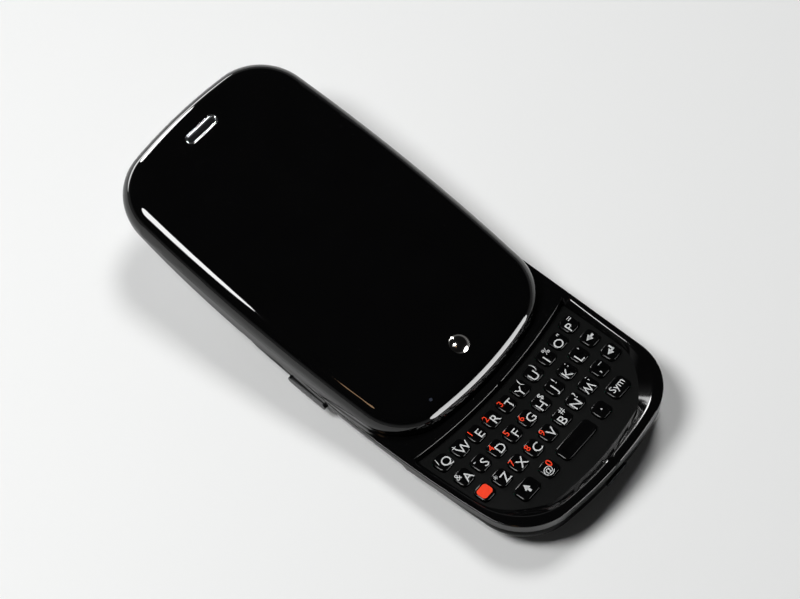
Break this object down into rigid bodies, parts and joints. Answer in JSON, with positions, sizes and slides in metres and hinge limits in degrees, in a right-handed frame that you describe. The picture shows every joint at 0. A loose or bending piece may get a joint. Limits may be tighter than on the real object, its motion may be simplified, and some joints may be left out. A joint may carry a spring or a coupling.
{
  "type": "slider phone",
  "caption": "Pebble-shaped slider phone, open: its glossy display half rides on a curved slide over a base with a small letter keypad.",
  "frame": {"origin": "centre of the flat back face, midway along the closed phone", "axes": "+X to the phone's right seen from the front, +Y towards its top end, +Z out of the keypad side"},
  "size_m": [0.06, 0.1367, 0.0261],
  "materials": {
    "gloss_front": "polished one-piece black front",
    "display_glass": "dark display module",
    "gloss_shell": "polished black",
    "mirror_black": "dark tinted mirror",
    "slide_steel": "blackened sheet steel",
    "bright_trim": "polished",
    "dark_chrome": "dark polished dome",
    "flex_film": "amber flexible film",
    "spring_steel": "drawn spring wire",
    "rail_steel": "folded sheet steel",
    "gloss_deck": "polished black",
    "matt_web": "fine matt black",
    "board_green": "board with contact domes",
    "gloss_side": "polished black",
    "gloss_rocker": "satin gloss black",
    "gloss_button": "satin gloss black",
    "satin_switch": "satin",
    "gloss_release": "satin gloss black",
    "gloss_door": "polished black",
    "socket_plastic": "moulded socket body",
    "back_gloss": "polished black",
    "window_glass": "tinted window over the camera and flash",
    "battery_wrap": "printed film wrap, left plain",
    "board_parts": "circuit board with screened modules",
    "screw_steel": "black oxide",
    "key_gloss": "polished moulded key"
  },
  "bodies": {
    "base": {"display_flex": "flex_film", "slide_springs": "spring_steel", "slide_rails": "rail_steel", "keyboard_bezel": "gloss_deck", "keypad_web": "matt_web", "dome_board": "board_green", "base_chassis": "gloss_side", "headphone_socket": "socket_plastic", "back_cover": "back_gloss", "camera_window": "window_glass", "battery": "battery_wrap", "main_board": "board_parts", "screws": "screw_steel"},
    "display_half": {"front_lens": "gloss_front", "display_panel": "display_glass", "slider_shell": "gloss_shell", "mirror_panel": "mirror_black", "slide_plate": "slide_steel", "earpiece_grille": "bright_trim"},
    "volume_rocker_body": {"volume_rocker": "gloss_rocker"},
    "power_button_body": {"power_button": "gloss_button"},
    "ringer_switch_body": {"ringer_switch": "satin_switch"},
    "cover_release_body": {"cover_release": "gloss_release"},
    "usb_door_body": {"usb_door": "gloss_door"},
    "centre_button_body": {"centre_button": "dark_chrome"},
    "key_q_body": {"key_q": "key_gloss"},
    "key_w_body": {"key_w": "key_gloss"},
    "key_e_body": {"key_e": "key_gloss"},
    "key_r_body": {"key_r": "key_gloss"},
    "key_t_body": {"key_t": "key_gloss"},
    "key_y_body": {"key_y": "key_gloss"},
    "key_u_body": {"key_u": "key_gloss"},
    "key_i_body": {"key_i": "key_gloss"},
    "key_o_body": {"key_o": "key_gloss"},
    "key_p_body": {"key_p": "key_gloss"},
    "key_a_body": {"key_a": "key_gloss"},
    "key_s_body": {"key_s": "key_gloss"},
    "key_d_body": {"key_d": "key_gloss"},
    "key_f_body": {"key_f": "key_gloss"},
    "key_g_body": {"key_g": "key_gloss"},
    "key_h_body": {"key_h": "key_gloss"},
    "key_j_body": {"key_j": "key_gloss"},
    "key_k_body": {"key_k": "key_gloss"},
    "key_l_body": {"key_l": "key_gloss"},
    "key_backspace_body": {"key_backspace": "key_gloss"},
    "key_option_body": {"key_option": "key_gloss"},
    "key_z_body": {"key_z": "key_gloss"},
    "key_x_body": {"key_x": "key_gloss"},
    "key_c_body": {"key_c": "key_gloss"},
    "key_v_body": {"key_v": "key_gloss"},
    "key_b_body": {"key_b": "key_gloss"},
    "key_n_body": {"key_n": "key_gloss"},
    "key_m_body": {"key_m": "key_gloss"},
    "key_comma_body": {"key_comma": "key_gloss"},
    "key_enter_body": {"key_enter": "key_gloss"},
    "key_shift_body": {"key_shift": "key_gloss"},
    "key_zero_body": {"key_zero": "key_gloss"},
    "key_space_body": {"key_space": "key_gloss"},
    "key_period_body": {"key_period": "key_gloss"},
    "key_sym_body": {"key_sym": "key_gloss"}
  },
  "joints": [
    {"name": "display_slide", "type": "hinge", "parent": "base", "child": "display_half", "pos_m": [0, 0, 0.268], "axis": [1, 0, 0], "range_deg": [-8.24, 0], "deforming": ["slide_springs", "display_flex"]},
    {"name": "centre_button_press", "type": "slide", "parent": "display_half", "child": "centre_button_body", "axis": [0, 0.1434, -0.9897], "range_m": [0, 0.0003], "stiffness_N_per_m": 2500},
    {"name": "volume_rock", "type": "hinge", "parent": "base", "child": "volume_rocker_body", "pos_m": [-0.02845, 0.0185, 0.0053], "axis": [0, 0, 1], "range_deg": [-2.5, 2.5], "stiffness_Nm_per_rad": 0.06},
    {"name": "power_press", "type": "slide", "parent": "base", "child": "power_button_body", "axis": [0, -1, 0], "range_m": [0, 0.00035], "stiffness_N_per_m": 2500},
    {"name": "ringer_slide", "type": "slide", "parent": "base", "child": "ringer_switch_body", "axis": [1, 0, 0], "range_m": [0, 0.0015]},
    {"name": "release_press", "type": "slide", "parent": "base", "child": "cover_release_body", "axis": [0, 1, 0], "range_m": [0, 0.0005], "stiffness_N_per_m": 2500},
    {"name": "usb_door_swing", "type": "hinge", "parent": "base", "child": "usb_door_body", "pos_m": [0.02965, 0.0185, 0.0055], "axis": [0, 0, -1], "range_deg": [0, 90]},
    {"name": "key_q_press", "type": "slide", "parent": "base", "child": "key_q_body", "axis": [0, -0.1135, -0.9935], "range_m": [0, 0.0003], "stiffness_N_per_m": 2000},
    {"name": "key_w_press", "type": "slide", "parent": "base", "child": "key_w_body", "axis": [0, -0.1135, -0.9935], "range_m": [0, 0.0003], "stiffness_N_per_m": 2000},
    {"name": "key_e_press", "type": "slide", "parent": "base", "child": "key_e_body", "axis": [0, -0.1135, -0.9935], "range_m": [0, 0.0003], "stiffness_N_per_m": 2000},
    {"name": "key_r_press", "type": "slide", "parent": "base", "child": "key_r_body", "axis": [0, -0.1135, -0.9935], "range_m": [0, 0.0003], "stiffness_N_per_m": 2000},
    {"name": "key_t_press", "type": "slide", "parent": "base", "child": "key_t_body", "axis": [0, -0.1135, -0.9935], "range_m": [0, 0.0003], "stiffness_N_per_m": 2000},
    {"name": "key_y_press", "type": "slide", "parent": "base", "child": "key_y_body", "axis": [0, -0.1135, -0.9935], "range_m": [0, 0.0003], "stiffness_N_per_m": 2000},
    {"name": "key_u_press", "type": "slide", "parent": "base", "child": "key_u_body", "axis": [0, -0.1135, -0.9935], "range_m": [0, 0.0003], "stiffness_N_per_m": 2000},
    {"name": "key_i_press", "type": "slide", "parent": "base", "child": "key_i_body", "axis": [0, -0.1135, -0.9935], "range_m": [0, 0.0003], "stiffness_N_per_m": 2000},
    {"name": "key_o_press", "type": "slide", "parent": "base", "child": "key_o_body", "axis": [0, -0.1135, -0.9935], "range_m": [0, 0.0003], "stiffness_N_per_m": 2000},
    {"name": "key_p_press", "type": "slide", "parent": "base", "child": "key_p_body", "axis": [0, -0.1135, -0.9935], "range_m": [0, 0.0003], "stiffness_N_per_m": 2000},
    {"name": "key_a_press", "type": "slide", "parent": "base", "child": "key_a_body", "axis": [0, -0.1135, -0.9935], "range_m": [0, 0.0003], "stiffness_N_per_m": 2000},
    {"name": "key_s_press", "type": "slide", "parent": "base", "child": "key_s_body", "axis": [0, -0.1135, -0.9935], "range_m": [0, 0.0003], "stiffness_N_per_m": 2000},
    {"name": "key_d_press", "type": "slide", "parent": "base", "child": "key_d_body", "axis": [0, -0.1135, -0.9935], "range_m": [0, 0.0003], "stiffness_N_per_m": 2000},
    {"name": "key_f_press", "type": "slide", "parent": "base", "child": "key_f_body", "axis": [0, -0.1135, -0.9935], "range_m": [0, 0.0003], "stiffness_N_per_m": 2000},
    {"name": "key_g_press", "type": "slide", "parent": "base", "child": "key_g_body", "axis": [0, -0.1135, -0.9935], "range_m": [0, 0.0003], "stiffness_N_per_m": 2000},
    {"name": "key_h_press", "type": "slide", "parent": "base", "child": "key_h_body", "axis": [0, -0.1135, -0.9935], "range_m": [0, 0.0003], "stiffness_N_per_m": 2000},
    {"name": "key_j_press", "type": "slide", "parent": "base", "child": "key_j_body", "axis": [0, -0.1135, -0.9935], "range_m": [0, 0.0003], "stiffness_N_per_m": 2000},
    {"name": "key_k_press", "type": "slide", "parent": "base", "child": "key_k_body", "axis": [0, -0.1135, -0.9935], "range_m": [0, 0.0003], "stiffness_N_per_m": 2000},
    {"name": "key_l_press", "type": "slide", "parent": "base", "child": "key_l_body", "axis": [0, -0.1135, -0.9935], "range_m": [0, 0.0003], "stiffness_N_per_m": 2000},
    {"name": "key_backspace_press", "type": "slide", "parent": "base", "child": "key_backspace_body", "axis": [0, -0.1135, -0.9935], "range_m": [0, 0.0003], "stiffness_N_per_m": 2000},
    {"name": "key_option_press", "type": "slide", "parent": "base", "child": "key_option_body", "axis": [0, -0.1135, -0.9935], "range_m": [0, 0.0003], "stiffness_N_per_m": 2000},
    {"name": "key_z_press", "type": "slide", "parent": "base", "child": "key_z_body", "axis": [0, -0.1135, -0.9935], "range_m": [0, 0.0003], "stiffness_N_per_m": 2000},
    {"name": "key_x_press", "type": "slide", "parent": "base", "child": "key_x_body", "axis": [0, -0.1135, -0.9935], "range_m": [0, 0.0003], "stiffness_N_per_m": 2000},
    {"name": "key_c_press", "type": "slide", "parent": "base", "child": "key_c_body", "axis": [0, -0.1135, -0.9935], "range_m": [0, 0.0003], "stiffness_N_per_m": 2000},
    {"name": "key_v_press", "type": "slide", "parent": "base", "child": "key_v_body", "axis": [0, -0.1135, -0.9935], "range_m": [0, 0.0003], "stiffness_N_per_m": 2000},
    {"name": "key_b_press", "type": "slide", "parent": "base", "child": "key_b_body", "axis": [0, -0.1135, -0.9935], "range_m": [0, 0.0003], "stiffness_N_per_m": 2000},
    {"name": "key_n_press", "type": "slide", "parent": "base", "child": "key_n_body", "axis": [0, -0.1135, -0.9935], "range_m": [0, 0.0003], "stiffness_N_per_m": 2000},
    {"name": "key_m_press", "type": "slide", "parent": "base", "child": "key_m_body", "axis": [0, -0.1135, -0.9935], "range_m": [0, 0.0003], "stiffness_N_per_m": 2000},
    {"name": "key_comma_press", "type": "slide", "parent": "base", "child": "key_comma_body", "axis": [0, -0.1135, -0.9935], "range_m": [0, 0.0003], "stiffness_N_per_m": 2000},
    {"name": "key_enter_press", "type": "slide", "parent": "base", "child": "key_enter_body", "axis": [0, -0.1135, -0.9935], "range_m": [0, 0.0003], "stiffness_N_per_m": 2000},
    {"name": "key_shift_press", "type": "slide", "parent": "base", "child": "key_shift_body", "axis": [0, -0.1135, -0.9935], "range_m": [0, 0.0003], "stiffness_N_per_m": 2000},
    {"name": "key_zero_press", "type": "slide", "parent": "base", "child": "key_zero_body", "axis": [0, -0.1135, -0.9935], "range_m": [0, 0.0003], "stiffness_N_per_m": 2000},
    {"name": "key_space_press", "type": "slide", "parent": "base", "child": "key_space_body", "axis": [0, -0.1135, -0.9935], "range_m": [0, 0.0003], "stiffness_N_per_m": 2000},
    {"name": "key_period_press", "type": "slide", "parent": "base", "child": "key_period_body", "axis": [0, -0.1135, -0.9935], "range_m": [0, 0.0003], "stiffness_N_per_m": 2000},
    {"name": "key_sym_press", "type": "slide", "parent": "base", "child": "key_sym_body", "axis": [0, -0.1135, -0.9935], "range_m": [0, 0.0003], "stiffness_N_per_m": 2000}
  ]
}
